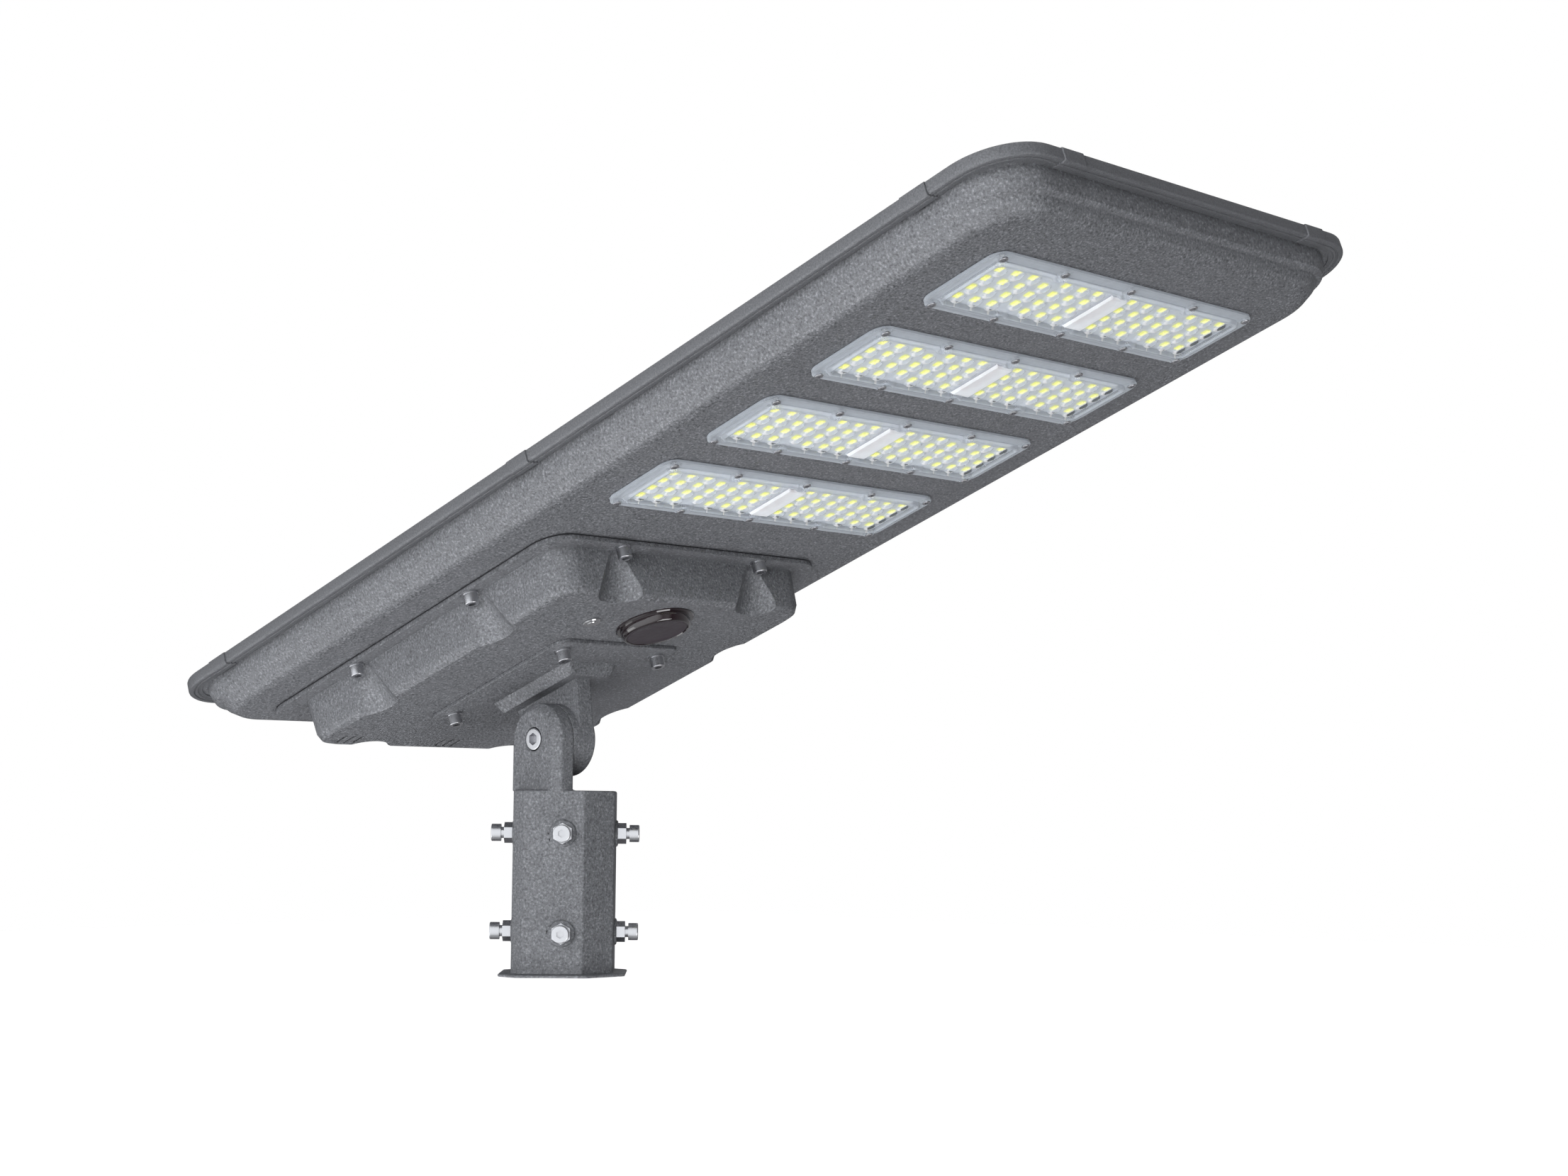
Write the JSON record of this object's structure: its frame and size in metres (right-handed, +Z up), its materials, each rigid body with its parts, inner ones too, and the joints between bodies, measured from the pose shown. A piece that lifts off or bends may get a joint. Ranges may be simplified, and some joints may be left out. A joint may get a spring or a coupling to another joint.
{
  "type": "solar street lamp",
  "caption": "Flat all-in-one solar street lamp head with panel on top, light modules and battery bay below, on a tilting bracket with a sleeve that clamps over a pole top.",
  "frame": {"origin": "centre of the sleeve's open bottom, on the pole's axis", "axes": "+Z up along the pole, +X across the head, +Y towards the head's pole end, so the light modules reach out along -Y; head tilted 20 degrees about X with its light end raised"},
  "size_m": [0.3754, 0.7875, 0.4871],
  "materials": {
    "grey_powder_coat": "dark grey sand-textured powder coat",
    "grey_rim": "dark grey smooth coat",
    "stainless_fasteners": "bright stainless steel",
    "clear_lens": "clear moulded polycarbonate",
    "white_board": "white solder mask",
    "yellow_chip": "yellow phosphor",
    "seal": "black silicone",
    "panel_glass": "low-iron front glass",
    "solar_cell": "dark blue silicon",
    "backsheet": "white backsheet",
    "black_plastic": "black moulded plastic",
    "battery_wrap": "blue shrink wrap",
    "circuit_board": "green solder mask",
    "sensor_black": "gloss black",
    "sensor_tint": "dark maroon gloss",
    "switch_steel": "polished stainless steel"
  },
  "bodies": {
    "bracket": {"pole_sleeve": "grey_powder_coat", "pole_set_screws": "stainless_fasteners", "set_screw_nuts": "stainless_fasteners", "tilt_bolt": "stainless_fasteners", "tilt_bolt_washer": "stainless_fasteners", "tilt_bolt_nut": "stainless_fasteners"},
    "head": {"battery_cells": "battery_wrap", "battery_cover": "grey_powder_coat", "battery_tray": "black_plastic", "charge_controller": "black_plastic", "cover_gasket": "seal", "cover_screw_washers": "stainless_fasteners", "cover_screws": "stainless_fasteners", "housing_shell": "grey_powder_coat", "junction_box": "black_plastic", "led_board_1": "white_board", "led_board_2": "white_board", "led_board_3": "white_board", "led_board_4": "white_board", "led_chips_1": "yellow_chip", "led_chips_2": "yellow_chip", "led_chips_3": "yellow_chip", "led_chips_4": "yellow_chip", "led_lens_1": "clear_lens", "led_lens_2": "clear_lens", "led_lens_3": "clear_lens", "led_lens_4": "clear_lens", "lens_gasket_1": "seal", "lens_gasket_2": "seal", "lens_gasket_3": "seal", "lens_gasket_4": "seal", "lens_screws": "stainless_fasteners", "mount_plate": "grey_powder_coat", "panel_gasket": "seal", "plate_screw_washers": "stainless_fasteners", "plate_screws": "stainless_fasteners", "protection_board": "circuit_board", "rim_corner_led_left": "grey_rim", "rim_corner_led_right": "grey_rim", "rim_corner_pole_left": "grey_rim", "rim_corner_pole_right": "grey_rim", "rim_end_led": "grey_rim", "rim_end_pole": "grey_rim", "rim_side_left_led": "grey_rim", "rim_side_left_pole": "grey_rim", "rim_side_right_led": "grey_rim", "rim_side_right_pole": "grey_rim", "sensor_bezel": "sensor_black", "sensor_board": "circuit_board", "sensor_body": "black_plastic", "sensor_dome": "sensor_tint", "sensor_nut": "black_plastic", "solar_backsheet": "backsheet", "solar_cells": "solar_cell", "solar_glass": "panel_glass", "switch_body": "switch_steel", "switch_nut": "switch_steel"},
    "button": {"switch_button": "switch_steel"}
  },
  "joints": [
    {"name": "head_tilt", "type": "hinge", "parent": "bracket", "child": "head", "pos_m": [0, 0, 0.1685], "axis": [1, 0, 0], "range_deg": [-55, 35]},
    {"name": "button_press", "type": "slide", "parent": "head", "child": "button", "axis": [0, 0.342, 0.9397], "range_m": [0, 0.0015], "stiffness_N_per_m": 400}
  ]
}
